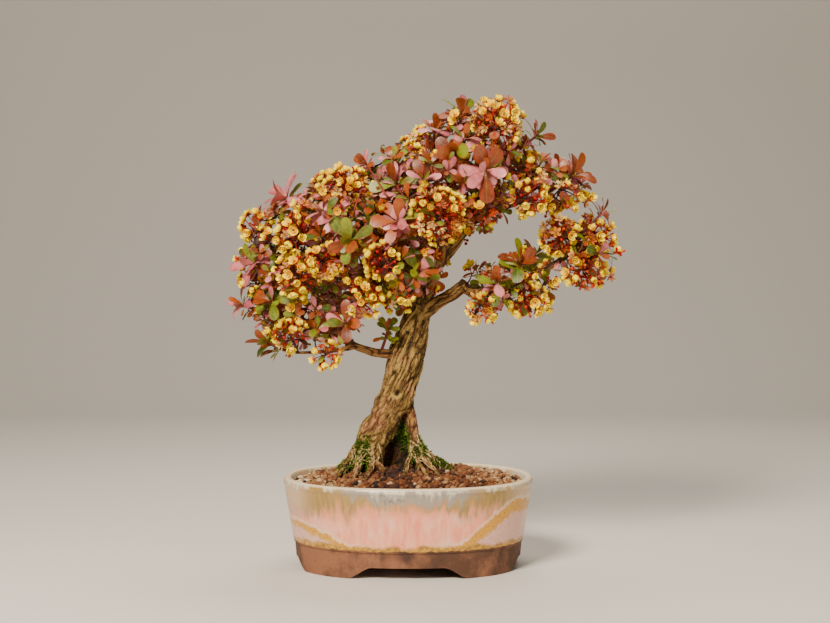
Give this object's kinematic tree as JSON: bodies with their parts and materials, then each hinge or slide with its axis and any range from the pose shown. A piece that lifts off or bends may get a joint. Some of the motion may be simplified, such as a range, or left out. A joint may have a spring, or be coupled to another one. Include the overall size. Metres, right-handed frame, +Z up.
{
  "type": "bonsai tree in a pot",
  "caption": "Flowering barberry bonsai: a leaning trunk on splayed surface roots, a spreading crown of small leaves and yellow flower bunches, in an oval glazed pot with four clay feet.",
  "frame": {"origin": "middle of the bounding box of the whole part, on the ground under the pot's feet", "axes": "+Z up, +X to the right of the tree's front view along the pot's long side, -Y towards the viewer of that front"},
  "size_m": [0.2718, 0.1552, 0.3292],
  "materials": {
    "glaze": "semi-gloss glaze in pink, cream and ochre, bare brown clay at the foot",
    "netting": "matte",
    "grit": "rough baked clay grains",
    "bark": "rough ridged bark",
    "leaf_pink": "satin",
    "leaf_bronze": "satin",
    "leaf_green": "satin",
    "flower": "soft matte petals"
  },
  "bodies": {
    "root": {"bunch_apex": "flower", "bunch_back_centre": "flower", "bunch_back_left": "flower", "bunch_back_low": "flower", "bunch_back_outer": "flower", "bunch_back_right": "flower", "bunch_centre_front": "flower", "bunch_centre_left": "flower", "bunch_left_end": "flower", "bunch_left_front": "flower", "bunch_left_high": "flower", "bunch_left_inner": "flower", "bunch_left_low": "flower", "bunch_left_low_inner": "flower", "bunch_left_middle": "flower", "bunch_left_tip": "flower", "bunch_left_top": "flower", "bunch_right_high": "flower", "bunch_right_inner_low": "flower", "bunch_right_inner_side": "flower", "bunch_right_outer": "flower", "bunch_right_outer_left": "flower", "bunch_right_outer_low": "flower", "bunch_trunk": "flower", "net_left": "netting", "net_right": "netting", "pot": "glaze", "shoot_apex_front": "leaf_pink", "shoot_apex_left": "leaf_bronze", "shoot_apex_middle": "leaf_pink", "shoot_apex_right": "leaf_bronze", "shoot_apex_top": "leaf_bronze", "shoot_back_apex": "leaf_pink", "shoot_back_centre_high": "leaf_pink", "shoot_back_centre_left": "leaf_bronze", "shoot_back_centre_low": "leaf_green", "shoot_back_left_high": "leaf_pink", "shoot_back_left_low": "leaf_green", "shoot_back_right_high": "leaf_bronze", "shoot_back_right_low": "leaf_green", "shoot_centre_front": "leaf_pink", "shoot_centre_high": "leaf_pink", "shoot_centre_low": "leaf_green", "shoot_centre_top": "leaf_bronze", "shoot_left_crown": "leaf_pink", "shoot_left_end": "leaf_green", "shoot_left_far": "leaf_bronze", "shoot_left_front": "leaf_green", "shoot_left_high": "leaf_pink", "shoot_left_low": "leaf_green", "shoot_left_low_inner": "leaf_bronze", "shoot_left_spire": "leaf_pink", "shoot_left_tip": "leaf_pink", "shoot_right_crown": "leaf_pink", "shoot_right_inner": "leaf_pink", "shoot_right_inner_low": "leaf_bronze", "shoot_right_outer": "leaf_bronze", "shoot_trunk": "leaf_green", "soil": "grit", "tree_wood": "bark"}
  },
  "joints": []
}
